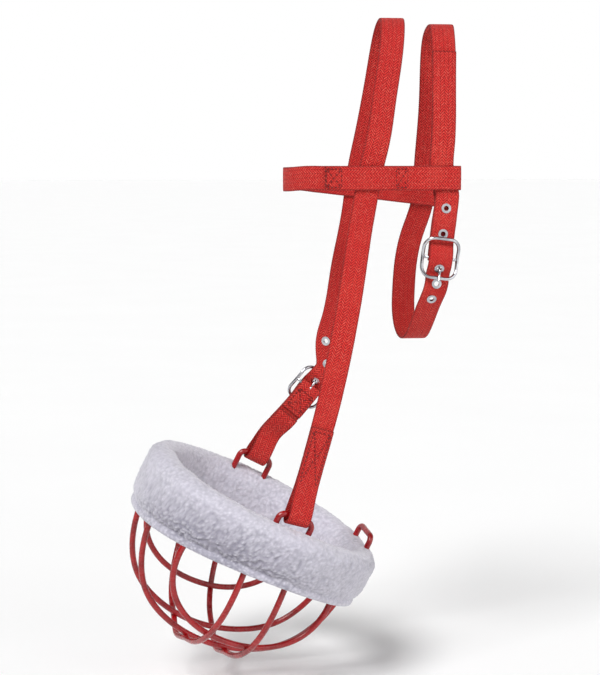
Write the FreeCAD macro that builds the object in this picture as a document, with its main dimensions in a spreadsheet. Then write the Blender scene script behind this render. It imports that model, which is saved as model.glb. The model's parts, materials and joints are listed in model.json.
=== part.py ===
"""Horse basket muzzle: coated wire basket with a fleece rim, hung from a webbing headstall.

Row frame, millimetres: origin on the underside of the crown strap at the poll, +Z up,
+X towards the back of the head, -X towards the nose, -Y the horse's left (near) side.
The basket has its own frame: +X back, +Y far side, +Z towards the head, origin in the rim.
"""

import FreeCAD
import Part
import Sketcher
import math
import os

V = FreeCAD.Vector
X_AXIS, Y_AXIS, Z_AXIS = V(1, 0, 0), V(0, 1, 0), V(0, 0, 1)

doc = FreeCAD.newDocument("basket_muzzle")

# ---------------------------------------------------------------- driving dimensions

SIZES = {
    # webbing and thread
    "webbing_width": 25.0,
    "webbing_thick": 2.0,
    "stitch_length": 2.6,
    "stitch_pitch": 4.0,
    "thread_wide": 0.8,
    "thread_high": 0.5,
    # eyelets, pressed through the webbing
    "eyelet_bore": 5.2,
    "eyelet_barrel": 6.2,
    "eyelet_flange": 10.0,
    "eyelet_flange_thick": 0.5,
    # centre-bar buckles
    "buckle_wide": 40.0,
    "buckle_long": 44.0,
    "buckle_corner": 8.0,
    "buckle_rod": 3.6,
    "buckle_bow_radius": 38.0,
    "centre_bar": 3.2,
    "prong_rod": 2.4,
    "prong_reach": 23.0,
    # wire basket
    "wire": 6.3,
    "rim_half_long": 118.0,
    "rim_half_wide": 108.0,
    "rim_level": -8.0,
    "inner_arc_offset": 25.0,
    "outer_arc_offset": 80.0,
    "cross_arc_offset": 24.0,
    "cross_arc_lean": 4.0,
    "near_outer_shift": -5.0,
    # hoops that stand above the rim
    "hoop_wide": 38.0,
    "hoop_corner": 7.0,
    "side_hoop_level": 29.0,
    "chin_hoop_level": 19.0,
    "side_hoop_reach": 99.7,
    "near_hoop_shift": -3.2,
    "far_hoop_shift": 7.2,
    "chin_hoop_reach": 121.0,
    # where the basket sits in the row frame, and how it is turned
    "basket_back": -135.2,
    "basket_side": 2.2,
    "basket_up": -512.9,
    "basket_yaw": 13.7,
    "basket_pitch": 24.1,
    "basket_roll": 11.2,
}

sheet = doc.addObject("Spreadsheet::Sheet", "Sizes")
for row, (alias, value) in enumerate(SIZES.items(), start=1):
    sheet.set(f"A{row}", alias)
    sheet.set(f"B{row}", str(value))
    sheet.setAlias(f"B{row}", alias)
doc.recompute()


def size(alias):
    """One driving dimension, read back from the sheet."""
    return float(getattr(sheet, alias))


WIDE, THICK, WIRE = size("webbing_width"), size("webbing_thick"), size("wire")

# ---------------------------------------------------------------- placements

BASKET = FreeCAD.Placement(
    V(size("basket_back"), size("basket_side"), size("basket_up")),
    FreeCAD.Rotation(size("basket_yaw"), size("basket_pitch"), size("basket_roll")),
)
LEVEL = FreeCAD.Placement()


def frame_at(origin, down, outward):
    """Placement whose +X runs down a strap, +Z stands off its outer face, +Y across it."""
    x_dir = V(down).normalize()
    z_dir = (V(outward) - x_dir * V(outward).dot(x_dir)).normalize()
    return FreeCAD.Placement(V(origin), FreeCAD.Rotation(x_dir, z_dir.cross(x_dir), z_dir, "XYZ"))


# ---------------------------------------------------------------- sub-parts

pieces = []


def keep(node, label, placement=LEVEL):
    """Name a finished document object as one sub-part and put it in its place."""
    node.Label = label
    node.Placement = placement
    pieces.append(node)
    return node


def keep_shape(shape, label, placement=LEVEL):
    node = doc.addObject("Part::Feature", label)
    node.Shape = shape
    return keep(node, label, placement)


def origin_plane(body, role):
    return next(f for f in body.Origin.OriginFeatures if f.Role == role)


def closed_outline(sketch, corners):
    """Straight-sided closed outline through the corners, joined end to end."""
    first, count = sketch.GeometryCount, len(corners)
    for start, end in zip(corners, corners[1:] + corners[:1]):
        sketch.addGeometry(Part.LineSegment(V(*start, 0), V(*end, 0)), False)
    for i in range(count):
        following = first + (i + 1) % count
        sketch.addConstraint(Sketcher.Constraint("Coincident", first + i, 2, following, 1))


# ---------------------------------------------------------------- curves and sweeps


def smooth_curve(points, closed=False):
    curve = Part.BSplineCurve()
    curve.interpolate(Points=[V(*p) for p in points], PeriodicFlag=closed)
    return curve


def rod_along(curve, diameter):
    """Round rod swept along one smooth curve."""
    start = curve.value(curve.FirstParameter)
    heading = curve.tangent(curve.FirstParameter)[0]
    return rod_solid(Part.Wire([curve.toShape()]), start, heading, diameter)


def rod_solid(path, start, heading, diameter):
    profile = Part.Wire([Part.makeCircle(diameter / 2, start, heading)])
    swept = path.makePipeShell([profile], True, False)
    return Part.Solid(swept) if swept.ShapeType == "Shell" else swept


class Webbing:
    """Flat webbing whose middle follows a smooth curve.

    Its width lies along `across`: (place on the path, direction) pairs in path order.
    """

    LONGEST_STEP = 9.0
    SHARPEST_TURN = math.radians(14)

    def __init__(self, points, across):
        self.curve = smooth_curve(points)
        self.length = self.curve.length()
        self.across = [(self.nearest(V(*point)), direction) for point, direction in across]

    def nearest(self, point):
        """Distance along the path of the place nearest to a point."""
        return self.curve.length(self.curve.FirstParameter, self.curve.parameter(point))

    def width_at(self, along):
        """The width's direction, turned evenly between the places where it is given."""
        before, after = self.across[0], self.across[-1]
        for pair in self.across:
            if pair[0] <= along:
                before = pair
        for pair in reversed(self.across):
            if pair[0] > along:
                after = pair
        if along >= self.across[-1][0] or after[0] <= before[0]:
            return before[1]
        return before[1] + (after[1] - before[1]) * ((along - before[0]) / (after[0] - before[0]))

    def place(self, along):
        """Placement on the middle surface: +X along, +Y across, +Z off the face."""
        here = self.curve.FirstParameter
        if along > 0:
            here = min(self.curve.parameterAtDistance(along, here), self.curve.LastParameter)
        centre, heading = self.curve.value(here), self.curve.tangent(here)[0]
        width_dir = self.width_at(along)
        width_dir = (width_dir - heading * width_dir.dot(heading)).normalize()
        face_dir = heading.cross(width_dir)
        return FreeCAD.Placement(centre, FreeCAD.Rotation(heading, width_dir, face_dir, "XYZ"))

    def stations(self):
        """Distances along the webbing, closer together where it bends."""
        kept, last = [0.0], self.place(0)
        along, fine = 0.0, 0.5
        while along < self.length - fine:
            along += fine
            here = self.place(along)
            bend = here.Rotation.multVec(X_AXIS).getAngle(last.Rotation.multVec(X_AXIS))
            if along - kept[-1] > self.LONGEST_STEP or bend > self.SHARPEST_TURN:
                kept.append(along)
                last = here
        if self.length - kept[-1] < 2 * fine:
            kept.pop()
        return kept + [self.length]

    def solid(self):
        sections = []
        for along in self.stations():
            place = self.place(along)
            corners = [
                place.multVec(V(0, side * WIDE / 2, face * THICK / 2))
                for side, face in ((1, 1), (-1, 1), (-1, -1), (1, -1))
            ]
            sections.append(Part.makePolygon(corners + corners[:1]))
        return Part.makeLoft(sections, True, True)


# ---------------------------------------------------------------- where the straps go


def in_frame(place, profile):
    """(down the strap, off its face) pairs of a local profile, in the row frame."""
    return [tuple(place.multVec(V(down, 0, off))) for down, off in profile]


def half_turn(radius, centre, turns):
    return [
        (centre + radius * math.sin(math.radians(turn)), -radius * math.cos(math.radians(turn)))
        for turn in turns
    ]


NEAR_HOOP = V(size("near_hoop_shift"), -size("side_hoop_reach"), size("side_hoop_level"))
FAR_HOOP = V(size("far_hoop_shift"), size("side_hoop_reach"), size("side_hoop_level"))
CHIN_HOOP = V(size("chin_hoop_reach"), 0, size("chin_hoop_level"))
BAR_LINE = BASKET.Rotation.multVec(X_AXIS)
NEAR_DOWN, FAR_DOWN = V(-16, -4, -54), V(-50, 10, -86)
NEAR_FOLD = frame_at(BASKET.multVec(NEAR_HOOP), NEAR_DOWN, NEAR_DOWN.cross(BAR_LINE))
FAR_FOLD = frame_at(BASKET.multVec(FAR_HOOP), FAR_DOWN, BAR_LINE.cross(FAR_DOWN))

# A buckle's frame: +X runs from its bar along the prong, +Z off the outer face.
CHEEK_BUCKLE = frame_at((-74, 84, -396), (18, -4, 22), (0, 1, 0))
THROAT_BUCKLE = frame_at((42.5, -55.3, -245), (-3, 0, -24), (0, -1, 0))

# Webbing folded loosely round a hoop, and tightly round a buckle's bar.
HOOP_TURN = half_turn(6.2, 0.8, (20, 55, 90, 125, 160))
BAR_TURN_BACK = half_turn(2.9, 0, (0, 45, 90, 135, 180))
SEWN = 1.15  # half the spacing of two layers that are sewn together

# The strap that runs through a buckle: under both end bars, over the folded bar.
THROUGH = [(27, -0.5), (21, -0.6), (17, -0.3), (13.4, 1.2), (9.9, 3.4), (5, 5.3), (0, 5.8)]
THROUGH += [(-5, 5.3), (-10.5, 2.6), (-15, 0.2), (-20, -0.5), (-28, -0.5)]
BACK_LAYER, MAIN_LAYER = -3.1, -5.4  # levels of the folded strap under it
FOLDED = [(-6, 1.5), (-11, -1.3), (-16, -2.8), (-22, BACK_LAYER)]

TWISTED = V(0.85, -0.53, 0)


def width_line(place):
    """The direction across a strap in a local frame, pointing to the back."""
    line = place.Rotation.multVec(Y_AXIS)
    return line if line.x > 0 else -line


NEAR_LINE, FAR_LINE = width_line(NEAR_FOLD), width_line(FAR_FOLD)
CHEEK_LINE, THROAT_LINE = width_line(CHEEK_BUCKLE), width_line(THROAT_BUCKLE)


crown_points = in_frame(NEAR_FOLD, [(-93, SEWN), (-70, SEWN), (-45, SEWN), (-28, 2.4), (-12, 5.6)])
crown_points += in_frame(NEAR_FOLD, HOOP_TURN[::-1])
crown_points += in_frame(NEAR_FOLD, [(-12, -5.6), (-28, -2.4), (-45, -SEWN), (-70, -SEWN)])
crown_points += in_frame(NEAR_FOLD, [(-93, -SEWN)])
crown_points += [(-71, -83, -368), (-59, -73.5, -316), (-47, -61, -256), (-40, -52, -218)]
crown_points += [(-34.5, -50, -188), (-28.5, -50, -155), (-22, -50, -128), (-14, -46.5, -80)]
crown_points += [(-6, -38, -32), (-2, -22, -6.5), (0, 0, THICK / 2), (-1, 22, -6.5), (-4, 38, -32)]
crown_points += [(-11, 46.5, -80), (-20, 50, -128), (-26, 50, -158), (-31, 50, -196)]
crown_points += [(-35, 53, -222), (-42, 62, -264), (-51, 72, -318), (-57, 78, -352)]
crown_points += in_frame(CHEEK_BUCKLE, THROUGH + [(-40, 1.6), (-54, 5.4)])
NEAR_ABOVE, FAR_BELOW_BAND = (-59, -73.5, -316), (-31, 50, -200)
crown_across = [(in_frame(NEAR_FOLD, [(-60, -SEWN)])[0], NEAR_LINE), (NEAR_ABOVE, X_AXIS)]
crown_across += [(FAR_BELOW_BAND, X_AXIS), ((-51, 72, -318), TWISTED), ((-56, 77, -345), TWISTED)]
crown_across += [(in_frame(CHEEK_BUCKLE, [(23, -0.5)])[0], CHEEK_LINE)]
crown = Webbing(crown_points, crown_across)

short_points = in_frame(CHEEK_BUCKLE, [(-33, MAIN_LAYER), (-24, MAIN_LAYER), (-12, -5.0)])
short_points += in_frame(CHEEK_BUCKLE, BAR_TURN_BACK + FOLDED + [(-34, BACK_LAYER)])
short_points += in_frame(FAR_FOLD, [(-28, 2.4), (-12, 5.6)] + HOOP_TURN[::-1])
short_points += in_frame(FAR_FOLD, [(-12, -5.6), (-28, -1.4)])
short_points += in_frame(CHEEK_BUCKLE, [(-45, MAIN_LAYER), (-37, MAIN_LAYER)])
short_across = [(in_frame(CHEEK_BUCKLE, [(-26, BACK_LAYER)])[0], CHEEK_LINE)]
short_across += [(in_frame(FAR_FOLD, [(-16, 4.6)])[0], FAR_LINE)]
short_across += [(in_frame(FAR_FOLD, [(-16, -4.6)])[0], FAR_LINE)]
short_across += [(in_frame(CHEEK_BUCKLE, [(-39, MAIN_LAYER)])[0], CHEEK_LINE)]
short_strap = Webbing(short_points, short_across)

throat_points = in_frame(THROAT_BUCKLE, [(-46, BACK_LAYER), (-34, BACK_LAYER)] + FOLDED[::-1])
throat_points += in_frame(THROAT_BUCKLE, BAR_TURN_BACK[::-1] + [(-12, -5.0), (-24, MAIN_LAYER)])
throat_points += in_frame(THROAT_BUCKLE, [(-40, MAIN_LAYER), (-58, MAIN_LAYER)])
throat_points += [(45, -50, -158), (45.4, -50, -130), (47, -47, -90), (48.5, -38.5, -36)]
throat_points += [(50, -22, -12), (52, 0, -5), (51, 22, -12), (51, 38.5, -36), (51, 47, -90)]
throat_points += [(48.5, 50, -130), (46.5, 50, -160), (43.5, 52, -194), (33.6, 56, -226)]
throat_points += [(27.5, 56, -254), (24, 50, -282), (21.5, 36, -310), (22.5, 14, -329)]
throat_points += [(25, -8, -331), (29, -30, -314), (34.5, -46.5, -290)]
throat_points += in_frame(THROAT_BUCKLE, THROUGH + [(-43, -0.6), (-54, -1.6), (-64, -2.9)])
throat_points += [(45, -52.4, -158), (45.4, -52.4, -130), (47, -49.4, -90), (48.1, -42.6, -50)]
throat_points += [(48.5, -40.6, -34)]
throat_across = [(in_frame(THROAT_BUCKLE, [(-24, MAIN_LAYER)])[0], THROAT_LINE)]
throat_across += [((45, -50, -158), X_AXIS), ((34.5, -46.5, -290), X_AXIS)]
throat_across += [(in_frame(THROAT_BUCKLE, [(24, -0.5)])[0], THROAT_LINE)]
throat_across += [(in_frame(THROAT_BUCKLE, [(-28, -0.5)])[0], THROAT_LINE)]
throat_across += [((45, -52.4, -158), X_AXIS)]
throatlatch = Webbing(throat_points, throat_across)


# The browband: one strip, doubled at each side so that it loops round both straps.
BAND_MIDDLE = -163.0
FAR_BAND_DROP, FAR_BAND_SLOPE = 13.0, 0.12
INNER_FACE, SEWN_FACE, OUTER_FACE, DOUBLE_FACE = 47.4, 50.0, 52.8, 55.2


def band_side(side):
    """Plan of one side, from the forehead back round the throatlatch to the cut end."""
    inner = [(-93, 36), (-78, 46.6), (-68, SEWN_FACE - SEWN), (-58, SEWN_FACE - SEWN)]
    inner += [(-50, INNER_FACE), (-30, INNER_FACE), (-11, INNER_FACE), (-4, SEWN_FACE - SEWN)]
    inner += [(11, SEWN_FACE - SEWN), (19, INNER_FACE), (40, INNER_FACE), (56, INNER_FACE)]
    middle, radius = (INNER_FACE + DOUBLE_FACE) / 2, (DOUBLE_FACE - INNER_FACE) / 2
    turn = [(60 + radius * math.cos(math.radians(t)), middle + radius * math.sin(math.radians(t)))
            for t in (-50, 0, 50)]
    outer = [(56, DOUBLE_FACE), (40, DOUBLE_FACE), (22, DOUBLE_FACE), (11, SEWN_FACE + SEWN)]
    outer += [(-4, SEWN_FACE + SEWN), (-11, OUTER_FACE), (-30, OUTER_FACE), (-50, OUTER_FACE)]
    outer += [(-58, SEWN_FACE + SEWN), (-67, SEWN_FACE + SEWN), (-76, SEWN_FACE + SEWN)]
    return [(x, side * y, band_level(x, side)) for x, y in inner + turn + outer]


def band_level(x, side):
    if side < 0:
        return BAND_MIDDLE
    return BAND_MIDDLE - FAR_BAND_DROP - FAR_BAND_SLOPE * x


forehead = [(-107, -20, -164.5), (-112, 0, -165), (-107, 20, -165)]
band_points = band_side(-1)[::-1] + forehead + band_side(1)
browband = Webbing(band_points, [(band_points[0], Z_AXIS)])

# ---------------------------------------------------------------- fittings on the straps


def eyelet_feature():
    """One eyelet: a barrel between two flanges, turned about the hole's axis."""
    body = doc.addObject("PartDesign::Body", "EyeletBody")
    sketch = body.newObject("Sketcher::SketchObject", "EyeletProfile")
    sketch.AttachmentSupport = [(origin_plane(body, "XZ_Plane"), "")]
    sketch.MapMode = "FlatFace"
    bore, barrel, flange = (size(n) / 2 for n in ("eyelet_bore", "eyelet_barrel", "eyelet_flange"))
    face = THICK / 2 + 0.02
    rim = face + size("eyelet_flange_thick")
    corners = [(bore, -rim), (flange, -rim), (flange, -face), (barrel, -face)]
    corners += [(barrel, face), (flange, face), (flange, rim), (bore, rim)]
    closed_outline(sketch, corners)
    turned = body.newObject("PartDesign::Revolution", "EyeletTurned")
    turned.Profile = sketch
    turned.ReferenceAxis = (sketch, ["V_Axis"])
    turned.Angle = 360
    doc.recompute()
    return body


EYELET = eyelet_feature().Shape.copy()


def eyelets(places):
    copies = []
    for place in places:
        one = EYELET.copy()
        one.Placement = place
        copies.append(one)
    return Part.makeCompound(copies)


def punched(solid, places):
    """Webbing with a hole for each eyelet's barrel."""
    for place in places:
        hole = Part.makeCylinder(size("eyelet_barrel") / 2 + 0.05, 8, V(0, 0, -4))
        hole.Placement = place
        solid = solid.cut(hole)
    return solid


def slotted(solid, buckle):
    """Webbing with the slot that lets the prong out of the fold round the bar."""
    slot = Part.makeBox(12, 3.6, 11, V(-7, -1.8, -5.6))
    slot.Placement = buckle
    return solid.cut(slot)


def stitches(place, corners):
    """Thread laid along straight lines between corners, on the face of a webbing."""
    pitch, length = size("stitch_pitch"), size("stitch_length")
    wide, high = size("thread_wide"), size("thread_high")
    laid = []
    for (x0, y0), (x1, y1) in zip(corners, corners[1:]):
        run = math.hypot(x1 - x0, y1 - y0)
        count = int(run / pitch)
        for k in range(count):
            share = (k + 0.5) / count
            one = Part.makeBox(length, wide, high, V(-length / 2, -wide / 2, -high / 2))
            one.Placement = FreeCAD.Placement(
                V(x0 + (x1 - x0) * share, y0 + (y1 - y0) * share, THICK / 2 + high / 2),
                FreeCAD.Rotation(Z_AXIS, math.degrees(math.atan2(y1 - y0, x1 - x0))),
            )
            one.Placement = place.multiply(one.Placement)
            laid.append(one)
    return laid


def box_and_cross(place, half_long, half_wide=9.5):
    """The square with both diagonals that holds two layers together."""
    a, b = half_long, half_wide
    square = [(-a, -b), (a, -b), (a, b), (-a, b), (-a, -b)]
    return stitches(place, square) + stitches(place, [(-a + 1, -b + 1), (a - 1, b - 1)]) + stitches(
        place, [(-a + 1, b - 1), (-1.6, 1.4)]
    ) + stitches(place, [(1.6, -1.4), (a - 1, -b + 1)])


def face_out(place, outward):
    """The same place with +Z on the side that looks outward."""
    if place.Rotation.multVec(Z_AXIS).dot(V(*outward)) < 0:
        return place.multiply(FreeCAD.Placement(V(), FreeCAD.Rotation(X_AXIS, 180)))
    return place


# Eyelets: the ones a prong can use, up the strap that runs through each buckle.
prong_hole = V(9.9, 0, 3.4)
throat_first = throatlatch.nearest(THROAT_BUCKLE.multVec(prong_hole))
throat_places = [throatlatch.place(throat_first + k * 17.5) for k in (-2, -1, 0, 2.1, 3.6)]
cheek_first = crown.nearest(CHEEK_BUCKLE.multVec(prong_hole))
cheek_places = [crown.place(cheek_first + k * 25.5) for k in (-2, -1, 0)]

keep_shape(punched(crown.solid(), cheek_places), "crown_strap")
keep_shape(slotted(short_strap.solid(), CHEEK_BUCKLE), "far_cheek_strap")
keep_shape(slotted(punched(throatlatch.solid(), throat_places), THROAT_BUCKLE), "throatlatch_strap")
keep_shape(browband.solid(), "browband_strip")
keep_shape(eyelets(cheek_places), "cheek_eyelets")
keep_shape(eyelets(throat_places), "throat_eyelets")

near_seam = face_out(crown.place(31), (0, -1, 0))
keep_shape(Part.makeCompound(box_and_cross(near_seam, 27)), "near_cheek_stitching")
far_seam_place = face_out(short_strap.place(16), (0, -1, 0))
keep_shape(Part.makeCompound(box_and_cross(far_seam_place, 11)), "far_cheek_stitching")
throat_main = throatlatch.nearest(THROAT_BUCKLE.multVec(V(-33, 0, MAIN_LAYER)))
throat_seam = face_out(throatlatch.place(throat_main), (0, 1, 0))
keep_shape(Part.makeCompound(box_and_cross(throat_seam, 9)), "throatlatch_stitching")
band_seams = []
for side in (-1, 1):
    for x in (-67, 3.5):
        point = V(x, side * (SEWN_FACE + SEWN), band_level(x, side))
        seam = face_out(browband.place(browband.nearest(point)), (0, side, 0))
        band_seams += box_and_cross(seam, 8.0 if x < 0 else 6.0)
keep_shape(Part.makeCompound(band_seams), "browband_stitching")

# ---------------------------------------------------------------- buckles


def buckle_frame(label, place):
    """Bowed, cut-cornered frame with its centre bar, all one casting."""
    outer_x, outer_y = size("buckle_long") / 2, size("buckle_wide") / 2
    rod, corner, bow = size("buckle_rod"), size("buckle_corner"), size("buckle_bow_radius")

    def octagon(inset):
        x, y, c = outer_x - inset, outer_y - inset, corner - 0.58 * inset
        return [(x - c, y), (c - x, y), (-x, y - c), (-x, c - y), (c - x, -y), (x - c, -y),
                (x, c - y), (x, y - c)]

    body = doc.addObject("PartDesign::Body", label + "_blank")
    sketch = body.newObject("Sketcher::SketchObject", label + "_outline")
    sketch.AttachmentSupport = [(origin_plane(body, "XY_Plane"), "")]
    sketch.MapMode = "FlatFace"
    closed_outline(sketch, octagon(0))
    closed_outline(sketch, octagon(rod))
    pad = body.newObject("PartDesign::Pad", label + "_pad")
    pad.Profile = sketch
    pad.Length = 30
    pad.Midplane = True
    shells = []
    for name, sign in (("under", 1), ("over", -1)):
        drum = doc.addObject("Part::Cylinder", f"{label}_{name}")
        drum.setExpression("Radius", f"Sizes.buckle_bow_radius + {sign} * Sizes.buckle_rod / 2")
        drum.Height = 60
        drum.Placement = FreeCAD.Placement(V(0, 30, bow), FreeCAD.Rotation(X_AXIS, 90))
        shells.append(drum)
    curved = doc.addObject("Part::Cut", label + "_curve")
    curved.Base, curved.Tool = shells
    ring = doc.addObject("Part::Common", label + "_ring")
    ring.Base, ring.Tool = body, curved
    bar = doc.addObject("Part::Cylinder", label + "_bar")
    bar.setExpression("Radius", "Sizes.centre_bar / 2")
    bar.setExpression("Height", "Sizes.buckle_wide - Sizes.buckle_rod")
    bar.Placement = FreeCAD.Placement(V(0, bar_half(), 0), FreeCAD.Rotation(X_AXIS, 90))
    whole = doc.addObject("Part::Fuse", label)
    whole.Base, whole.Tool = ring, bar
    doc.recompute()
    return keep(whole, label, place)


def bar_half():
    return (size("buckle_wide") - size("buckle_rod")) / 2


def buckle_prong(label, place):
    """Prong: an eye on the centre bar, and a rod up through the eyelet to the end bar."""
    rod = size("prong_rod")
    eye_radius = size("centre_bar") / 2 + 0.25 + rod / 2
    reach = size("prong_reach")
    route = [(eye_radius, 0, 0), (7.0, 0, 0.4), (9.4, 0, 2.6), (10.3, 0, 5.6), (12.6, 0, 7.8)]
    route += [(16.0, 0, 8.5), (19.5, 0, 9.7), (reach, 0, 11.4)]
    eye = Part.makeTorus(eye_radius, rod / 2, V(), Y_AXIS)
    shank = rod_along(smooth_curve(route), rod)
    keep_shape(eye.fuse(shank), label, place)


buckle_frame("cheek_buckle_frame", CHEEK_BUCKLE)
buckle_prong("cheek_buckle_prong", CHEEK_BUCKLE)
buckle_frame("throat_buckle_frame", THROAT_BUCKLE)
buckle_prong("throat_buckle_prong", THROAT_BUCKLE)

# ---------------------------------------------------------------- wire basket


def rim_reach(offset, half_long, half_wide):
    """Half length of the rim at a sideways offset from its middle."""
    return half_long * math.sqrt(1 - (offset / half_wide) ** 2)


RIM_LONG, RIM_WIDE, RIM_LEVEL = size("rim_half_long"), size("rim_half_wide"), size("rim_level")
INNER, OUTER, CROSS = (size(n + "_arc_offset") for n in ("inner", "outer", "cross"))


def full_profile(half):
    """A half outline, rim to bottom, completed with its mirror image."""
    return [(-reach, level) for reach, level in half] + [
        (reach, level) for reach, level in half[-2::-1]
    ]


INNER_HALF = [(rim_reach(INNER, RIM_LONG, RIM_WIDE), RIM_LEVEL), (116.5, -45), (108, -86)]
INNER_HALF += [(86, -121), (48, -143), (0, -151)]
OUTER_HALF = [(rim_reach(OUTER, RIM_LONG, RIM_WIDE), RIM_LEVEL), (86, -36), (87, -62)]
OUTER_HALF += [(76, -92), (46, -116), (0, -125)]
CROSS_HALF = [(rim_reach(CROSS, RIM_WIDE, RIM_LONG), RIM_LEVEL), (109, -42), (106, -84)]
CROSS_HALF += [(87, -121.5), (56, -144.5), (25, -154.6), (0, -161.5)]


for label, offset, shift in (
    ("near_outer_arc", -OUTER, size("near_outer_shift")),
    ("near_inner_arc", -INNER, 0),
    ("far_inner_arc", INNER, 0),
    ("far_outer_arc", OUTER, 0),
):
    half = OUTER_HALF if abs(offset) == OUTER else INNER_HALF
    # the ends stay on the rim, and the middle leans forward by the shift
    points = []
    for u, w in full_profile(half):
        give = min(1.0, (RIM_LEVEL - w) / 30)
        points.append((u + shift * give, offset, w))
    keep_shape(rod_along(smooth_curve(points), WIRE), label, BASKET)

LEAN = math.tan(math.radians(size("cross_arc_lean")))
CROSS_DEPTH = -CROSS_HALF[-1][1]
for label, offset in (("front_cross_arc", -CROSS), ("rear_cross_arc", CROSS)):
    points = []
    for v, w in full_profile(CROSS_HALF):
        points.append((offset - LEAN * (w + CROSS_DEPTH), v, w))
    # the leaning plane meets the rim a little further forward
    forward = points[0][0]
    reach = rim_reach(forward, RIM_WIDE, RIM_LONG)
    points[0] = (forward, -reach, RIM_LEVEL)
    points[-1] = (forward, reach, RIM_LEVEL)
    keep_shape(rod_along(smooth_curve(points), WIRE), label, BASKET)



rim_curve = Part.Ellipse(V(0, 0, RIM_LEVEL), RIM_LONG, RIM_WIDE)
rim_path = Part.Wire([rim_curve.toShape()])
keep_shape(rod_solid(rim_path, V(RIM_LONG, 0, RIM_LEVEL), Y_AXIS, WIRE), "rim_ring", BASKET)


def hoop(label, centre, along, low):
    """A squared hoop of wire: its bar through `centre`, its legs down to level `low`."""
    half, corner = size("hoop_wide") / 2, size("hoop_corner")
    drop = Z_AXIS * -(centre.z - low)
    bend = corner * (1 - math.sqrt(0.5))
    left, right = centre - along * half, centre + along * half
    down = Z_AXIS * -corner
    edges = [
        Part.LineSegment(left + drop, left + down),
        Part.Arc(left + down, left + along * bend - Z_AXIS * bend, left + along * corner),
        Part.LineSegment(left + along * corner, right - along * corner),
        Part.Arc(right - along * corner, right - along * bend - Z_AXIS * bend, right + down),
        Part.LineSegment(right + down, right + drop),
    ]
    path = Part.Wire([edge.toShape() for edge in edges])
    keep_shape(rod_solid(path, left + drop, Z_AXIS, WIRE), label, BASKET)


HOOP_FOOT = RIM_LEVEL - 4
hoop("near_hoop", NEAR_HOOP, X_AXIS, HOOP_FOOT)
hoop("far_hoop", FAR_HOOP, X_AXIS, HOOP_FOOT)
hoop("chin_hoop", CHIN_HOOP, Y_AXIS, HOOP_FOOT)

# ---------------------------------------------------------------- fleece rim cover

# Crest and hem levels in the basket frame, at the nose, far side, chin and near side.
CREST = {"nose": 19.0, "far": 11.0, "chin": 6.0, "near": 18.0}
HEM = {"nose": -50.0, "far": -46.0, "chin": -52.0, "near": -40.0}


def around(levels, turn):
    """A level that varies smoothly round the rim; turn 0 is the chin, 90 degrees the far side."""
    c, s = math.cos(turn), math.sin(turn)
    ends = levels["chin"] if c > 0 else levels["nose"]
    sides = levels["far"] if s > 0 else levels["near"]
    return ends * c * c + sides * s * s


def fleece_section(turn):
    """Inverted trough round the rim wire: thick outer wall, rounded crest, inner wall."""
    crest, hem = around(CREST, turn), around(HEM, turn)
    outline = [(8, hem), (12, hem + 7), (15, hem + 18), (18, crest - 22), (17, crest - 9)]
    outline += [(10, crest - 1.5), (0, crest), (-10, crest - 4), (-16, crest - 15)]
    outline += [(-16, crest - 30), (-11, hem + 10), (-7, hem + 3)]
    point = V(RIM_LONG * math.cos(turn), RIM_WIDE * math.sin(turn), 0)
    normal = V(point.x / RIM_LONG**2, point.y / RIM_WIDE**2, 0).normalize()
    corners = [point + normal * out + Z_AXIS * level for out, level in outline]
    return Part.makePolygon(corners + corners[:1])


FLEECE_SECTIONS = 48
sections = [fleece_section(2 * math.pi * k / FLEECE_SECTIONS) for k in range(FLEECE_SECTIONS)]
tube = Part.makeLoft(sections + sections[:1], False, True)
keep_shape(Part.Solid(Part.Shell(tube.Faces)), "fleece_cover", BASKET)

seam_laid = []
SEAM_STITCHES = 120
for k in range(SEAM_STITCHES):
    turn = 2 * math.pi * k / SEAM_STITCHES
    point = V(RIM_LONG * math.cos(turn), RIM_WIDE * math.sin(turn), 0)
    normal = V(point.x / RIM_LONG**2, point.y / RIM_WIDE**2, 0).normalize()
    spot = point + normal * 11.8 + Z_AXIS * (around(HEM, turn) + 7)
    one = Part.makeBox(size("stitch_length"), size("thread_wide"), 1.2, V(-1.3, -0.4, -0.6))
    one.Placement = FreeCAD.Placement(
        spot, FreeCAD.Rotation(normal.cross(Z_AXIS), Z_AXIS, normal, "XZY")
    )
    seam_laid.append(one)
keep_shape(Part.makeCompound(seam_laid), "fleece_seam_stitching", BASKET)

# ---------------------------------------------------------------- check and write

doc.recompute()
for node in doc.Objects:
    bad = [state for state in node.State if state in ("Invalid", "Error")]
    if bad:
        raise RuntimeError(f"{node.Label}: {bad}")
os.makedirs("parts", exist_ok=True)
for node in pieces:
    shape = node.Shape
    if shape.isNull() or not shape.isValid() or not shape.Solids:
        raise RuntimeError(f"{node.Label}: shape is not a valid solid")
    shape.exportStep(f"parts/{node.Label}.step")
    print(f"{node.Label:26s} {len(shape.Solids):4d} solids {shape.Volume:12.1f} mm3")
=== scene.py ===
"""Looks of the basket muzzle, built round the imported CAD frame.

Webbing headstall, coated wire basket and fleece rim. Lengths are in mm where not in metres.
"""

import json
import math

import bmesh
import bpy
import numpy as np
from mathutils import Matrix, Vector, noise


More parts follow.
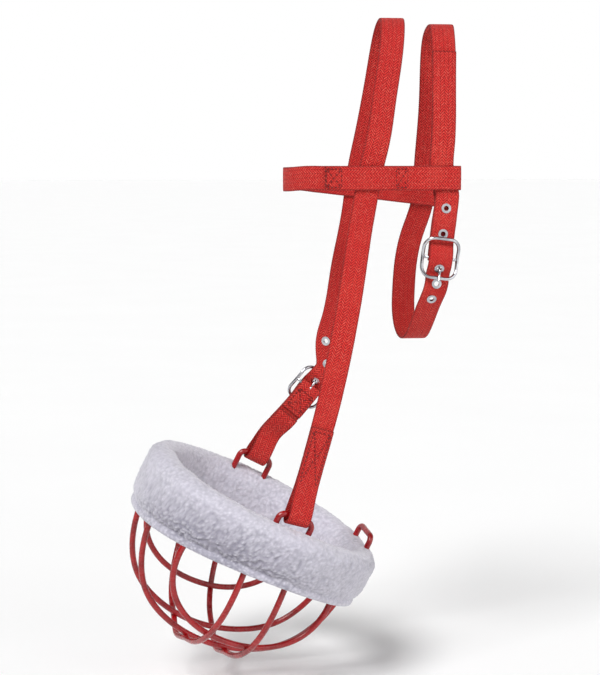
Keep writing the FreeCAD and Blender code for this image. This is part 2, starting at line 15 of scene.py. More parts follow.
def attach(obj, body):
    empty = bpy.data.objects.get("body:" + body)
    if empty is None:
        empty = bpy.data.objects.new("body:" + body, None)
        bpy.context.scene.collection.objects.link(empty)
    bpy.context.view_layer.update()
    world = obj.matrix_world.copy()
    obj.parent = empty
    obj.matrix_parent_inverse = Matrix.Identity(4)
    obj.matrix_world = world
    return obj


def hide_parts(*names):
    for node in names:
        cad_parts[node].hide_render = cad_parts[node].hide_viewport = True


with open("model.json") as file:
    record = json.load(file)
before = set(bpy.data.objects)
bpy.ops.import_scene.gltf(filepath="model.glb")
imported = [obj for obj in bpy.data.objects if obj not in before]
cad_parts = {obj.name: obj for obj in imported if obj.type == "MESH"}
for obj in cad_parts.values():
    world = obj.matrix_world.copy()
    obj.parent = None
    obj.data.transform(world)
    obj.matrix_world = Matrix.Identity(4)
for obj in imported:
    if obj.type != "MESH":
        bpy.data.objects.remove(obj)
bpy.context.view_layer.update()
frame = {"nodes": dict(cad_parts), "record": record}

MM = 0.001

# ---------------------------------------------------------------- camera

LOOK_AT = Vector((-0.0953, 0.0, -0.3308))
CAMERA_AZIMUTH = math.radians(-7.0)
CAMERA_ELEVATION = math.radians(6.0)
CAMERA_DISTANCE = 1.9
back = Vector(
    (
        math.sin(CAMERA_AZIMUTH) * math.cos(CAMERA_ELEVATION),
        -math.cos(CAMERA_AZIMUTH) * math.cos(CAMERA_ELEVATION),
        math.sin(CAMERA_ELEVATION),
    )
)
camera_data = bpy.data.cameras.new("camera")
camera_data.lens = 96.3
camera_data.sensor_width = 36.0
camera_data.clip_end = 50.0
camera = bpy.data.objects.new("camera", camera_data)
bpy.context.scene.collection.objects.link(camera)
camera.location = LOOK_AT + back * CAMERA_DISTANCE
camera.rotation_euler = back.to_track_quat("Z", "Y").to_euler()
bpy.context.scene.camera = camera


# ---------------------------------------------------------------- node helpers


SPAN_SOCKETS = ("From Min", "From Max", "To Min", "To Max")


class Shader:
    """A material's node tree, with short ways to add nodes."""

    def __init__(self, name):
        self.material = bpy.data.materials.new(name)
        self.material.use_nodes = True
        self.nodes = self.material.node_tree.nodes
        self.links = self.material.node_tree.links
        self.surface = self.nodes["Principled BSDF"]

    def add(self, kind, inputs=(), **settings):
        node = self.nodes.new(kind)
        for key, value in settings.items():
            setattr(node, key, value)
        for key, value in dict(inputs).items():
            self.feed(node.inputs[key], value)
        return node

    def feed(self, socket, value):
        if isinstance(value, bpy.types.NodeSocket):
            self.links.new(value, socket)
        else:
            socket.default_value = value

    def maths(self, operation, a, b=0.0, c=0.0):
        node = self.add("ShaderNodeMath", operation=operation)
        for socket, value in zip(node.inputs, (a, b, c)):
            self.feed(socket, value)
        return node.outputs[0]

    def mix(self, share, a, b):
        node = self.add("ShaderNodeMix", data_type="RGBA")
        self.feed(node.inputs[0], share)
        self.feed(node.inputs[6], a)
        self.feed(node.inputs[7], b)
        return node.outputs[2]

    def noise(self, scale, detail=3.0, roughness=0.5, where=None):
        node = self.add("ShaderNodeTexNoise")
        node.inputs["Scale"].default_value = scale
        node.inputs["Detail"].default_value = detail
        node.inputs["Roughness"].default_value = roughness
        if where is None:
            where = self.add("ShaderNodeTexCoord").outputs["Object"]
        self.links.new(where, node.inputs["Vector"])
        return node.outputs["Fac"]

    def span(self, value, low, high, to_low=0.0, to_high=1.0):
        node = self.add("ShaderNodeMapRange")
        self.feed(node.inputs["Value"], value)
        for key, number in zip(SPAN_SOCKETS, (low, high, to_low, to_high)):
            node.inputs[key].default_value = number
        return node.outputs[0]

    def bump(self, height, distance, strength=1.0):
        node = self.add("ShaderNodeBump")
        node.inputs["Strength"].default_value = strength
        node.inputs["Distance"].default_value = distance
        self.links.new(height, node.inputs["Height"])
        self.links.new(node.outputs[0], self.surface.inputs["Normal"])

    def set(self, **values):
        for key, value in values.items():
            self.feed(self.surface.inputs[key.replace("_", " ")], value)


def linear(red, green, blue):
    """Colour given as 0..255 screen values, turned into the linear values a shader takes."""
    channels = [c / 255 for c in (red, green, blue)]
    return tuple(c / 12.92 if c <= 0.04045 else ((c + 0.055) / 1.055) ** 2.4 for c in channels) + (1.0,)


# ---------------------------------------------------------------- materials

HALF_WIDE = 12.5  # of the webbing, mm
THICK = 2.0
LANE = 4.2  # mm, width of one herringbone lane
RIB_PITCH = 3.0  # mm between the twill's ribs


def webbing_material():
    """Herringbone twill: ribs that slant one way on one lane and the other way on the next."""
    s = Shader("webbing")
    uv = s.add("ShaderNodeUVMap", uv_map="weave").outputs[0]
    split = s.add("ShaderNodeSeparateXYZ", {"Vector": uv})
    across, along = split.outputs[0], split.outputs[1]  # both in mm
    lane = s.maths("PINGPONG", across, LANE)
    slanted = s.maths("ADD", s.maths("MULTIPLY", lane, 1.1), along)
    ribbed = s.maths("PINGPONG", slanted, RIB_PITCH / 2)
    ribbed = s.span(ribbed, 0.3, 1.2)
    pick = s.maths("SINE", s.maths("MULTIPLY", s.maths("SUBTRACT", lane, along), 2 * math.pi / 1.3))
    gap = s.span(s.maths("MINIMUM", lane, s.maths("SUBTRACT", LANE, lane)), 0.0, 0.4, 1.0, 0.0)
    thread = s.noise(900.0, 2.0)
    worn = s.noise(38.0, 4.0, 0.6)
    fleck = s.noise(460.0, 1.0)
    broad = s.noise(7.0, 2.0)
    # mask of the painted edge shade: 0 across the face, 1 at the rounded long edges
    edge = s.span(s.maths("ABSOLUTE", across), 10.4, 12.4)
    cut = s.add("ShaderNodeAttribute", attribute_name="cut").outputs["Fac"]
    deep, lit = linear(142, 12, 16), linear(224, 50, 42)
    base = s.mix(s.maths("MULTIPLY_ADD", ribbed, 0.9, 0.1), deep, lit)
    # painted highlight: pale glints on the rib tops, flecked by noise
    painted_glint = s.maths("MULTIPLY", ribbed, s.span(fleck, 0.5, 0.66, 0.0, 0.55))
    base = s.mix(painted_glint, base, linear(244, 112, 96))
    # painted shade in the groove between two herringbone lanes
    base = s.mix(s.maths("MULTIPLY", gap, 0.5), base, linear(112, 8, 12))
    base = s.mix(s.span(worn, 0.5, 0.8, 0.0, 0.3), base, linear(226, 84, 70))
    base = s.mix(s.span(broad, 0.35, 0.65, 0.0, 0.3), base, linear(178, 22, 26))
    # painted shade: darker towards the strap's rounded long edges
    base = s.mix(s.maths("MULTIPLY", edge, 0.6), base, linear(92, 6, 10))
    base = s.mix(s.maths("MULTIPLY", cut, 0.8), base, linear(84, 6, 8))
    s.set(Base_Color=base, Roughness=s.span(worn, 0.2, 0.8, 0.62, 0.82))
    s.set(Specular_IOR_Level=0.3, Sheen_Weight=0.12, Sheen_Roughness=0.4)
    s.set(Sheen_Tint=linear(255, 170, 160))
    height = s.maths("ADD", ribbed, s.maths("MULTIPLY", pick, 0.16))
    height = s.maths("SUBTRACT", height, s.maths("MULTIPLY", gap, 0.7))
    height = s.maths("ADD", height, s.maths("MULTIPLY", thread, 0.4))
    s.bump(height, 0.0005, 1.0)
    return s.material


def thread_material():
    s = Shader("thread")
    twist = s.noise(1500.0, 2.0)
    fade = s.noise(60.0, 2.0)
    base = s.mix(s.span(fade, 0.3, 0.7), linear(96, 4, 10), linear(136, 14, 18))
    base = s.mix(s.span(twist, 0.4, 0.7, 0.0, 0.5), base, linear(96, 8, 12))
    s.set(Base_Color=base, Roughness=s.span(twist, 0.3, 0.7, 0.45, 0.65), Specular_IOR_Level=0.45)
    s.bump(twist, 0.0001)
    return s.material


def coated_wire_material():
    """Dipped coating: glossy and a little uneven, with faint handling marks."""
    s = Shader("coated_wire")
    sag = s.noise(55.0, 2.0)
    fine = s.noise(420.0, 3.0)
    scuff = s.noise(140.0, 5.0, 0.7)
    base = s.mix(s.span(sag, 0.35, 0.65), linear(130, 4, 9), linear(158, 10, 16))
    base = s.mix(s.span(scuff, 0.64, 0.76, 0.0, 0.25), base, linear(190, 48, 46))
    s.set(Base_Color=base, Roughness=s.span(scuff, 0.4, 0.75, 0.2, 0.42))
    s.set(Coat_Weight=0.35, Coat_Roughness=0.14, Specular_IOR_Level=0.45)
    s.bump(s.maths("ADD", sag, s.maths("MULTIPLY", fine, 0.12)), 0.0007, 0.6)
    return s.material


def fleece_material():
    s = Shader("fleece")
    depth = s.add("ShaderNodeAttribute", attribute_name="pile").outputs["Fac"]
    painted_hollow_shade = s.add("ShaderNodeAttribute", attribute_name="painted_hollow_shade").outputs["Fac"]
    curl = s.noise(420.0, 4.0, 0.65)
    cloud = s.noise(26.0, 3.0)
    # painted shade: greyer deep in the pile between the curls, read from the pile attribute
    base = s.mix(s.span(depth, 0.0, 1.0), linear(138, 136, 150), linear(224, 221, 231))
    base = s.mix(s.span(curl, 0.35, 0.68, 0.0, 0.55), base, linear(176, 174, 186))
    base = s.mix(s.span(cloud, 0.4, 0.62, 0.0, 0.3), base, linear(206, 202, 216))
    # painted shade in the hollows of the ruffled pile, on the near side towards the nose
    shaded = s.maths("MULTIPLY", painted_hollow_shade, s.span(cloud, 0.3, 0.6, 0.3, 0.85))
    base = s.mix(shaded, base, linear(122, 118, 130))
    s.set(Base_Color=base, Roughness=s.span(curl, 0.3, 0.7, 0.86, 0.98))
    s.set(Sheen_Weight=0.45, Sheen_Roughness=0.5, Specular_IOR_Level=0.12)
    s.set(Sheen_Tint=linear(255, 255, 255))
    s.bump(curl, 0.0016, 0.9)
    return s.material


def nickel_material():
    s = Shader("nickel")
    polish = s.noise(90.0, 3.0)
    scratch = s.noise(700.0, 4.0, 0.7)
    base = s.mix(s.span(polish, 0.35, 0.65), linear(168, 168, 174), linear(206, 206, 210))
    s.set(Base_Color=base, Metallic=1.0, Roughness=s.span(scratch, 0.35, 0.75, 0.1, 0.27))
    s.bump(s.maths("ADD", polish, s.maths("MULTIPLY", scratch, 0.1)), 0.00025, 0.5)
    return s.material


MATERIALS = {
    "webbing": webbing_material(),
    "thread": thread_material(),
    "coated_wire": coated_wire_material(),
    "fleece": fleece_material(),
    "nickel": nickel_material(),
}


def new_piece(name, mesh, slot, body, *replaced):
    """A finished mesh as an object: material, slot, the body it rides on and the CAD node it stands for."""
    piece = bpy.data.objects.new(name, mesh)
    bpy.context.scene.collection.objects.link(piece)
    mesh.materials.append(MATERIALS[slot])
    mesh.polygons.foreach_set("use_smooth", [True] * len(mesh.polygons))
    if replaced:
        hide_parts(*replaced)
    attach(piece, body)
    return piece


def grid_faces(rows, columns, closed):
    """Quads between rows of a tube of points; columns always close on themselves."""
    row = np.arange(rows if closed else rows - 1)[:, None]
    col = np.arange(columns)[None, :]
    here, beside = row * columns + col, row * columns + (col + 1) % columns
    ahead = (row + 1) % rows * columns
    quads = np.stack([here, beside, ahead + (col + 1) % columns, ahead + col], axis=-1)
    return quads.reshape(-1, 4)


# ---------------------------------------------------------------- reading a CAD node


def welded(node):
    """A CAD node's mesh, with the corners that share a place made one."""
    work = bmesh.new()
    work.from_mesh(frame["nodes"][node].data)
    bmesh.ops.remove_doubles(work, verts=work.verts, dist=1e-6)
    return work


def connected(beside):
    """Groups of corners that are joined up; beside gives each corner's neighbours."""
    seen, groups = set(), []
    for start in beside:
        if start in seen:
            continue
        queue, group = [start], []
        seen.add(start)
        while queue:
            vert = queue.pop()
            group.append(vert)
            for other in beside[vert]:
                if other not in seen:
                    seen.add(other)
                    queue.append(other)
        groups.append(group)
    return groups


# ---------------------------------------------------------------- webbing

SHARP = math.radians(60)  # between two faces of a CAD strap, at its edges
STEP = 0.8  # mm between rings along a strap
SERRATION = 2.1  # mm between the bumps along a woven edge
SERRATION_DEPTH = 0.16
EDGE_INSET = 0.1
EDGE_STARTS = 0.95  # share of the half width
EDGE_THINNING = 0.12
MELT_LENGTH = 1.6  # mm of a cut end that heat has thinned
MELT_THINNING = 0.35
FACE_POINTS = 9


def long_edges(node):
    """The four long edges of a CAD strap as lists of corners in mm, from one cut end to the other.

    The sharp edges of a strap join up into one net of the long edges and the two cut ends, apart
    from the rims of its holes. Only the corners of a cut end have three sharp edges in that net.
    """
    work = welded(node)
    beside = {}
    for edge in work.edges:
        if edge.is_manifold and edge.calc_face_angle() > SHARP:
            for vert in edge.verts:
                beside.setdefault(vert, []).append(edge.other_vert(vert))
    net = max(connected(beside), key=len)
    corners = [vert for vert in net if len(beside[vert]) == 3]
    cut_ends = connected({vert: [v for v in beside[vert] if v in corners] for vert in corners})
    first = min(corners, key=lambda vert: vert.co.y)  # the path starts at the end nearer the viewer
    chains = []
    start = next(end for end in cut_ends if first in end)
    for corner in sorted(start, key=lambda vert: (vert.co - first.co).length):
        last, here = corner, next(v for v in beside[corner] if v not in corners)
        chain = [corner.co / MM]
        while here not in corners:
            chain.append(here.co / MM)
            last, here = here, next(v for v in beside[here] if v != last)
        chains.append(chain + [here.co / MM])
    work.free()
    return chains


def strap_rows(node):
    """Rows of the middle of a CAD strap at each of its sections, and the direction of its width."""
    corners = np.array(long_edges(node))  # two edges on one side, then the two on the other
    width = corners[2:].mean(0) - corners[:2].mean(0)
    width /= np.linalg.norm(width, axis=1)[:, None]
    if width[0, 0] + width[0, 2] < 0:
        width = -width
    return np.hstack([corners.mean(0), width])


def resample(rows, step):
    """Evenly spaced points and width directions on a smooth curve through the rows."""
    knots = np.concatenate([[0], np.cumsum(np.linalg.norm(np.diff(rows[:, :3], axis=0), axis=1))])
    slopes = np.gradient(rows, knots, axis=0)
    count = int(knots[-1] / step) + 1
    places = np.linspace(0, knots[-1], count)
    k = np.clip(np.searchsorted(knots, places, side="right") - 1, 0, len(knots) - 2)
    gap = (knots[k + 1] - knots[k])[:, None]
    t = ((places - knots[k])[:, None]) / gap
    value = (2 * t**3 - 3 * t**2 + 1) * rows[k] + (t**3 - 2 * t**2 + t) * gap * slopes[k]
    value += (3 * t**2 - 2 * t**3) * rows[k + 1] + (t**3 - t**2) * gap * slopes[k + 1]
    return places, value[:, :3], value[:, 3:]


def section_outline():
    """Half the section of a strap with rounded edges: (share of half width, share of half thickness)."""
    face = [(x, 1.0) for x in np.linspace(-0.93, 0.93, FACE_POINTS)]
    edge = [(0.985, 0.72), (1.0, 0.0), (0.985, -0.72)]
    return face + edge + [(-x, -y) for x, y in face] + [(-x, -y) for x, y in edge]


def ribbon(name, body, replaced):
    """Woven strap of the CAD strap's width and thickness, with scalloped edges and sealed cut ends."""
    places, centre, width = resample(strap_rows(replaced), STEP)
    heading = np.gradient(centre, axis=0)
    heading /= np.linalg.norm(heading, axis=1)[:, None]
    width -= heading * np.sum(width * heading, axis=1)[:, None]
    width /= np.linalg.norm(width, axis=1)[:, None]
    normal = np.cross(heading, width)
    outline = section_outline()
    columns = len(outline)
    wave = SERRATION_DEPTH * np.sin(places * 2 * math.pi / SERRATION)
    drift = 0.12 * np.sin(places * 0.043) + 0.08 * np.sin(places * 0.111 + 1.0)
    ends = np.minimum(places, places[-1] - places)
    melted = np.clip(1 - ends / MELT_LENGTH, 0, 1)
    verts = np.zeros((len(places), columns, 3))
    uv = np.zeros((len(places), columns, 2))
    for c, (x, y) in enumerate(outline):
        side = x * (HALF_WIDE - EDGE_INSET) + np.sign(x) * (abs(x) > EDGE_STARTS) * wave
        crown = 1 - EDGE_THINNING * abs(x) ** 4
        uneven = 0.96 + 0.03 * np.sin(places * 1.7 + c)
        lift = y * THICK / 2 * crown * (1 - MELT_THINNING * melted) * uneven
        offset = width * side[:, None]
        verts[:, c] = centre + offset + normal * lift[:, None] + width * drift[:, None] * 0.4
        uv[:, c, 0] = x * HALF_WIDE
        uv[:, c, 1] = places
    count = len(places) * columns
    quads = grid_faces(len(places), columns, False)
    caps = [tuple(range(columns))[::-1], tuple(range(count - columns, count))]
    mesh = bpy.data.meshes.new(name)
    mesh.from_pydata((verts.reshape(-1, 3) * MM).tolist(), [], quads.tolist() + caps)
    flat_uv = uv.reshape(-1, 2)
    layer = mesh.uv_layers.new(name="weave")
    loops = np.zeros(len(mesh.loops), int)
    mesh.loops.foreach_get("vertex_index", loops)
    layer.data.foreach_set("uv", flat_uv[loops].ravel())
    cut = mesh.attributes.new("cut", "FLOAT", "POINT")
    cut.data.foreach_set("value", np.repeat(np.clip(1 - ends / 1.4, 0, 1), columns))
    mesh.update()
    turn_outwards(mesh)
    return new_piece(name, mesh, "webbing", body, replaced)


def turn_outwards(mesh):
    """Makes every face of a closed mesh point outwards."""
    work = bmesh.new()
    work.from_mesh(mesh)
    bmesh.ops.recalc_face_normals(work, faces=work.faces)
    work.to_mesh(mesh)
    work.free()


straps = {
    "crown_webbing": ribbon("crown_webbing", "headstall", "crown_strap"),
    "far_cheek_webbing": ribbon("far_cheek_webbing", "headstall", "far_cheek_strap"),
    "throatlatch_webbing": ribbon("throatlatch_webbing", "headstall", "throatlatch_strap"),
    "browband_webbing": ribbon("browband_webbing", "browband", "browband_strip"),
}


# ---------------------------------------------------------------- loose parts of a CAD node


def islands(node):
    """The separate lumps of a CAD node, each as an array of its corners in mm."""
    work = welded(node)
    beside = {vert: [edge.other_vert(vert) for edge in vert.link_edges] for vert in work.verts}
    lumps = [np.array([vert.co / MM for vert in group]) for group in connected(beside)]
    work.free()
    return lumps


def axes_of(points):
    """Middle of a lump, and its three directions from the longest to the shortest."""
    middle = (points.min(0) + points.max(0)) / 2
    middle = points.mean(0) if len(points) < 20 else middle
    _, _, rows = np.linalg.svd(points - points.mean(0), full_matrices=False)
    reach = [np.abs((points - middle) @ r).max() for r in rows]
    order = np.argsort(reach)[::-1]
    return middle, [rows[i] for i in order], [reach[i] for i in order]


THREAD_RINGS = 7
THREAD_SIDES = 8


def thread(name, node, body, slot, radius):
    """Every stitch of a CAD node as a plump thread whose ends dive into the cloth."""
    verts, faces = [], []
    for lump in islands(node):
        middle, (along, side, out), reach = axes_of(lump)
        first = len(verts)
        for k in range(THREAD_RINGS):
            t = -1 + 2 * k / (THREAD_RINGS - 1)
            plump = radius * math.sqrt(max(1 - abs(t) ** 2.6, 0.03))
            centre = middle + along * t * (reach[0] + 0.15)
            for j in range(THREAD_SIDES):
                a = 2 * math.pi * j / THREAD_SIDES + t * 0.6
                point = centre + side * plump * math.cos(a) + out * plump * math.sin(a)
                verts.append((point * MM).tolist())
        quads = grid_faces(THREAD_RINGS, THREAD_SIDES, False) + first
        faces += quads.tolist()
        faces.append(list(range(first, first + THREAD_SIDES)))
        faces.append(list(range(len(verts) - THREAD_SIDES, len(verts)))[::-1])
    mesh = bpy.data.meshes.new(name)
    mesh.from_pydata(verts, [], faces)
    mesh.update()
    turn_outwards(mesh)
    return new_piece(name, mesh, slot, body, node)


for node, body in (
    ("near_cheek_stitching", "headstall"),
    ("far_cheek_stitching", "headstall"),
    ("throatlatch_stitching", "headstall"),
    ("browband_stitching", "browband"),
):
    thread(node.replace("stitching", "thread"), node, body, "thread", 0.66)


# ---------------------------------------------------------------- eyelet holes

HOLE = 3.12  # mm, radius of the hole that an eyelet lines


def punch(piece, node):
    """Cuts the webbing where the eyelets go through it."""
    work = bmesh.new()
    for lump in islands(node):
        middle, directions, _ = axes_of(lump)
        stand = Vector(directions[2]).to_track_quat("Z", "Y").to_matrix().to_4x4()
        place = Matrix.Translation(Vector(middle) * MM) @ stand
        size = {"radius1": HOLE * MM, "radius2": HOLE * MM, "depth": 5 * MM}
        bmesh.ops.create_cone(work, cap_ends=True, segments=20, matrix=place, **size)
    mesh = bpy.data.meshes.new("punch")
    work.to_mesh(mesh)
    work.free()
    tool = bpy.data.objects.new("punch", mesh)
    bpy.context.scene.collection.objects.link(tool)
    cut = piece.modifiers.new("holes", "BOOLEAN")
    cut.object = tool
    cut.operation = "DIFFERENCE"
    cut.solver = "EXACT"
    bpy.context.view_layer.update()
    state = bpy.context.evaluated_depsgraph_get()
    finished = bpy.data.meshes.new_from_object(
        piece.evaluated_get(state), preserve_all_data_layers=True, depsgraph=state
    )
    piece.modifiers.clear()
    piece.data = finished
    bpy.data.objects.remove(tool)


punch(straps["crown_webbing"], "cheek_eyelets")
punch(straps["throatlatch_webbing"], "throat_eyelets")

# ---------------------------------------------------------------- buckles

ROD_SIDES = 14
BUCKLE_LONG, BUCKLE_WIDE, BUCKLE_ROD, BUCKLE_CORNER = 44.0, 40.0, 3.6, 10.5
BOW_RADIUS = 38.0
BAR_ROD = 3.2


def tube(path, radius, closed):
    """Points and quads of a round rod along a path in mm; a closed path joins up."""
    path = np.array(path)
    if closed:
        heading = np.roll(path, -1, 0) - np.roll(path, 1, 0)
    else:
        heading = np.gradient(path, axis=0)
    heading /= np.linalg.norm(heading, axis=1)[:, None]
    side = np.cross(heading, np.array([0, 0, 1.0]))
    side /= np.linalg.norm(side, axis=1)[:, None]
    over = np.cross(side, heading)
    turn = np.linspace(0, 2 * math.pi, ROD_SIDES, endpoint=False)[None, :, None]
    points = path[:, None] + radius * (side[:, None] * np.cos(turn) + over[:, None] * np.sin(turn))
    return points.reshape(-1, 3), grid_faces(len(path), ROD_SIDES, closed)


def bowed(x):
    """How far the frame's ends lift as its length curves round the strap."""
    return BOW_RADIUS - math.sqrt(BOW_RADIUS**2 - x * x)


def buckle(name, node, body, origin, long_way, wide_way):
    """Centre-bar buckle: one rod bent into a bowed frame with round corners, and a bar across it."""
    long_way, wide_way = Vector(long_way), Vector(wide_way)
    place = Matrix((long_way, wide_way, long_way.cross(wide_way))).transposed()
    half_x = (BUCKLE_LONG - BUCKLE_ROD) / 2
    half_y = (BUCKLE_WIDE - BUCKLE_ROD) / 2
    path = []
    for sx, sy, start in ((1, 1, 0), (-1, 1, 90), (-1, -1, 180), (1, -1, 270)):
        for k in range(9):
            a = math.radians(start + k * 11.25)
            x = sx * (half_x - BUCKLE_CORNER) + BUCKLE_CORNER * math.cos(a)
            y = sy * (half_y - BUCKLE_CORNER) + BUCKLE_CORNER * math.sin(a)
            path.append((x, y, bowed(x)))
        if start in (0, 180):
            across = -sx * (half_x - BUCKLE_CORNER)
            shares = [1 - k / 3 for k in (1, 2, 3, 4, 5)]
            path += [(-across * share, sy * half_y, bowed(across * share)) for share in shares]
    rings, quads = tube(path, BUCKLE_ROD / 2, True)
    bar_path = [(0, y, 0) for y in np.linspace(-half_y, half_y, 5)]
    bar, bar_quads = tube(bar_path, BAR_ROD / 2, False)
    points = np.concatenate([rings, bar]) @ np.array(place).T + np.array(origin)
    first = len(rings)
    caps = [list(range(first, first + ROD_SIDES)), list(range(len(points) - ROD_SIDES, len(points)))[::-1]]
    mesh = bpy.data.meshes.new(name)
    mesh.from_pydata((points * MM).tolist(), [], quads.tolist() + (bar_quads + first).tolist() + caps)
    mesh.update()
    turn_outwards(mesh)
    return new_piece(name, mesh, "nickel", body, node)


buckle(
    "cheek_buckle_rod", "cheek_buckle_frame", "cheek_buckle",
    (-74.0, 84.0, -396.0), (0.62706, -0.139347, 0.766406), (0.773957, 0.0, -0.633238),
)
buckle(
    "throat_buckle_rod", "throat_buckle_frame", "throat_buckle",
    (42.5, -55.3, -245.0), (-0.124035, 0.0, -0.992278), (0.992278, 0.0, -0.124035),
)

# ---------------------------------------------------------------- fleece rim

BASKET_ORIGIN = Vector((-135.2, 2.2, -512.9))
BASKET_X = Vector((0.886863, 0.216194, -0.408330))
BASKET_Y = Vector((-0.155272, 0.971830, 0.177304))
BASKET_Z = Vector((0.435160, -0.093842, 0.895449))
RIM_LONG, RIM_WIDE = 118.0, 108.0
CREST = {"nose": 19.0, "far": 11.0, "chin": 6.0, "near": 18.0}
HEM = {"nose": -50.0, "far": -46.0, "chin": -52.0, "near": -40.0}
ROUND = 560  # points round the rim
OVER = 170  # points over the section
HEM_STRIP = 7.0  # mm of flat hem below the pile
HEM_FADE = 3.0
SWIRL_SIZE, SWIRL = 9.0, 2.6  # mm
LUMP_SIZE, CURL_SIZE = 16.0, 3.6  # mm
RUFFLED_AT, RUFFLED_SPREAD = -2.2, 0.75  # radians round the rim: the near side towards the nose
RUFFLED_HEIGHT = 42.0  # mm above the hem
noise.seed_set(1)  # otherwise noise_vector is seeded from the clock, and every run has other tufts


def around(levels, turn):
    """A level that varies smoothly round the rim; turn 0 is the chin, a quarter turn the far side."""
    c, s = np.cos(turn), np.sin(turn)
    ends = np.where(c > 0, levels["chin"], levels["nose"])
    sides = np.where(s > 0, levels["far"], levels["near"])
    return ends * c * c + sides * s * s


def closed_spline(points, count):
    """Evenly spaced points on a smooth closed curve; points is (corner, round, 2)."""
    n = len(points)
    t = np.linspace(0, n, count, endpoint=False)
    k = t.astype(int)
    f = (t - k)[:, None, None]
    p0, p1, p2, p3 = (points[(k + d) % n] for d in (-1, 0, 1, 2))
    squared = (2 * p0 - 5 * p1 + 4 * p2 - p3) * f**2
    cubed = (3 * p1 - p0 - 3 * p2 + p3) * f**3
    return 0.5 * (2 * p1 + (p2 - p0) * f + squared + cubed)


def fleece_form():
    """The folded pile cloth: a trough over the rim wire, hemmed below, plump above."""
    turn = np.linspace(0, 2 * math.pi, ROUND, endpoint=False)
    crest, hem = around(CREST, turn), around(HEM, turn)
    flat = np.zeros(ROUND)
    outline = [
        (8 + flat, hem), (12.5 + flat, hem + 0.5), (13.5 + flat, hem + 4), (12.2 + flat, hem + 8.2),
        (15.4 + flat, hem + 13), (17.5 + flat, hem + 22), (18 + flat, crest - 20), (17 + flat, crest - 9),
        (10 + flat, crest - 1.5), (0 + flat, crest), (-10 + flat, crest - 4), (-16 + flat, crest - 15),
        (-16 + flat, crest - 28), (-12.4 + flat, hem + 14), (-8.5 + flat, hem + 9), (-9.5 + flat, hem + 5),
        (-8 + flat, hem + 1.5), (-3 + flat, hem + 2), (0 + flat, hem + 4), (4 + flat, hem + 3),
    ]
    corners = np.stack([np.stack(pair, axis=-1) for pair in outline])
    section = closed_spline(corners, OVER)  # (over, round, out and level)
    ring = np.stack([RIM_LONG * np.cos(turn), RIM_WIDE * np.sin(turn), flat], axis=-1)
    normal = np.stack([np.cos(turn) / RIM_LONG, np.sin(turn) / RIM_WIDE, flat], axis=-1)
    normal /= np.linalg.norm(normal, axis=1)[:, None]
    points = ring[None] + normal[None] * section[..., :1] + np.array([0, 0, 1.0]) * section[..., 1:]
    above_hem = section[..., 1] - hem[None]
    return points.transpose(1, 0, 2), above_hem.T, section[..., 0].T


def fleece_cover():
    """The trough with curled pile, boldest low on the near side, and a flat hem strip."""
    points, above_hem, out = fleece_form()
    rows, columns = points.shape[:2]
    flat = points.reshape(-1, 3)
    to_world = np.array([BASKET_X, BASKET_Y, BASKET_Z])
    quads = grid_faces(rows, columns, True)
    # surface normals of the smooth form
    du = np.roll(points, -1, 0) - np.roll(points, 1, 0)
    dv = np.roll(points, -1, 1) - np.roll(points, 1, 1)
    normal = np.cross(dv, du)
    normal /= np.maximum(np.linalg.norm(normal, axis=2), 1e-9)[..., None]
    if np.sum(normal * (points - points.mean((0, 1)))) < 0:
        normal = -normal
    normal = normal.reshape(-1, 3)
    above, out = above_hem.reshape(-1), out.reshape(-1)
    hemmed = np.clip((above - HEM_STRIP) / HEM_FADE, 0, 1)  # 0 on the hem strip, 1 on the pile
    lumps, curls = np.zeros(len(flat)), np.zeros(len(flat))
    for i, p in enumerate(flat):
        swirl = noise.noise_vector(Vector(p) / SWIRL_SIZE) * SWIRL
        q = Vector(p) + swirl
        lumps[i] = noise.noise(q / LUMP_SIZE)
        near = noise.voronoi(q / CURL_SIZE, distance_metric="DISTANCE")[0]
        curls[i] = min(near[0], 1.0)
    tuft = 1 - curls * 1.25
    bearing = np.arctan2(flat[:, 1] / RIM_WIDE, flat[:, 0] / RIM_LONG)
    ruffled = np.exp(-(((bearing - RUFFLED_AT) / RUFFLED_SPREAD) ** 2))
    ruffled *= (out > 0) * np.clip(1.25 - above / RUFFLED_HEIGHT, 0, 1)
    coarse = 0.6 + 1.2 * ruffled
    rise = hemmed * (0.9 * lumps + 2.2 * coarse * (tuft - 0.45)) + (1 - hemmed) * 0.35 * (tuft - 0.5)
    moved = flat + normal * rise[:, None]
    world = moved @ to_world + np.array(BASKET_ORIGIN)
    mesh = bpy.data.meshes.new("fleece_pile")
    mesh.from_pydata((world * MM).tolist(), [], quads.tolist())
    # pile: 1 on the curl tops, lower in the hollows between them and more so where ruffled; the fleece
    # paints shade where it is low
    pile = mesh.attributes.new("pile", "FLOAT", "POINT")
    pile.data.foreach_set("value", np.clip(1 - (1 - tuft) * (0.6 + 0.95 * ruffled), 0, 1))
    # painted shade: strongest in the hollows between tufts of the ruffled pile
    painted_hollow_shade = mesh.attributes.new("painted_hollow_shade", "FLOAT", "POINT")
    painted_hollow_shade.data.foreach_set("value", np.clip(hemmed * ruffled * (1.2 - tuft) * 0.9, 0, 0.6))
    mesh.update()
    turn_outwards(mesh)
    piece = new_piece("fleece_pile", mesh, "fleece", "basket", "fleece_cover")
    return piece


fleece_cover()
thread("fleece_hem_thread", "fleece_seam_stitching", "basket", "fleece", 0.55)

# ---------------------------------------------------------------- CAD nodes that stay

for item in frame["record"]["subparts"]:
    stays = item["material_slot"] in ("coated_wire", "nickel")
    if stays and not item["node"].endswith("buckle_frame"):
        node = frame["nodes"][item["node"]]
        node.data.materials.clear()
        node.data.materials.append(MATERIALS[item["material_slot"]])

# ---------------------------------------------------------------- floor and light

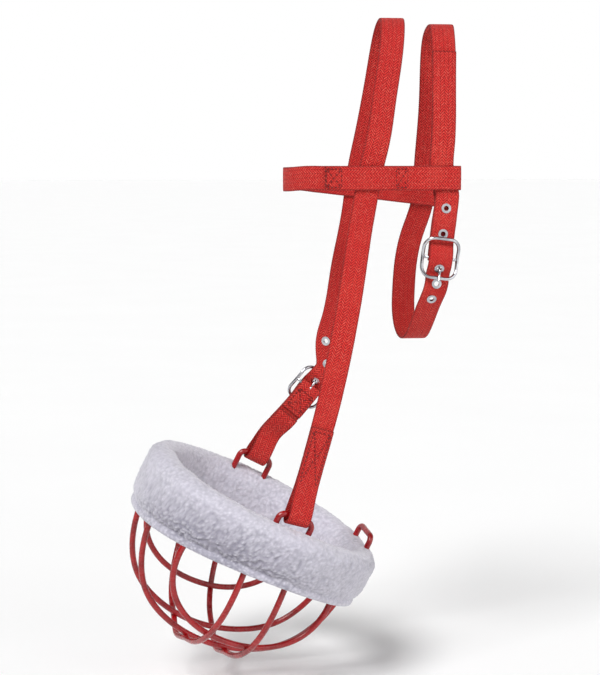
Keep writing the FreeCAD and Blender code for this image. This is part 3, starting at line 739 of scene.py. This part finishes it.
FLOOR_LEVEL = -0.70
floor_mesh = bpy.data.meshes.new("floor")
FLOOR_REACH = 30.0
floor_mesh.from_pydata(
    [(x * FLOOR_REACH, y * FLOOR_REACH, FLOOR_LEVEL) for x, y in ((-1, -1), (1, -1), (1, 1), (-1, 1))],
    [],
    [(0, 1, 2, 3)],
)
floor = bpy.data.objects.new("floor", floor_mesh)
bpy.context.scene.collection.objects.link(floor)
paper = Shader("floor")
paper.set(
    Base_Color=paper.mix(paper.noise(3.0, 2.0), linear(250, 250, 250), linear(254, 254, 254)), Roughness=0.9
)
floor_mesh.materials.append(paper.material)

world = bpy.data.worlds.new("world")
world.use_nodes = True
tree = world.node_tree
backdrop = tree.nodes["Background"]
backdrop.inputs["Color"].default_value = (1, 1, 1, 1)
backdrop.inputs["Strength"].default_value = 1.0
room = tree.nodes.new("ShaderNodeBackground")
direction = tree.nodes.new("ShaderNodeTexCoord")
bands = tree.nodes.new("ShaderNodeTexNoise")
bands.inputs["Scale"].default_value = 1.7
bands.inputs["Detail"].default_value = 1.0
walls = tree.nodes.new("ShaderNodeMapRange")
for key, number in (("From Min", 0.44), ("From Max", 0.56), ("To Min", 0.03), ("To Max", 1.15)):
    walls.inputs[key].default_value = number
tree.links.new(direction.outputs["Generated"], bands.inputs["Vector"])
tree.links.new(bands.outputs["Fac"], walls.inputs["Value"])
tree.links.new(walls.outputs[0], room.inputs["Strength"])
seen_directly = tree.nodes.new("ShaderNodeLightPath")
chosen = tree.nodes.new("ShaderNodeMixShader")
tree.links.new(seen_directly.outputs["Is Camera Ray"], chosen.inputs[0])
tree.links.new(room.outputs[0], chosen.inputs[1])
tree.links.new(backdrop.outputs[0], chosen.inputs[2])
tree.links.new(chosen.outputs[0], tree.nodes["World Output"].inputs["Surface"])
bpy.context.scene.world = world
bpy.context.scene.view_settings.view_transform = "Standard"

for name, place, spread, strength in (
    ("key", (-1.0, -1.5, 1.9), 25.0, 2.6),
    ("fill", (1.6, -1.6, 0.6), 60.0, 0.7),
):
    lamp_data = bpy.data.lights.new(name, "SUN")
    lamp_data.angle = math.radians(spread)
    lamp_data.energy = strength
    lamp = bpy.data.objects.new(name, lamp_data)
    bpy.context.scene.collection.objects.link(lamp)
    lamp.location = place
    lamp.rotation_euler = Vector(place).to_track_quat("Z", "Y").to_euler()
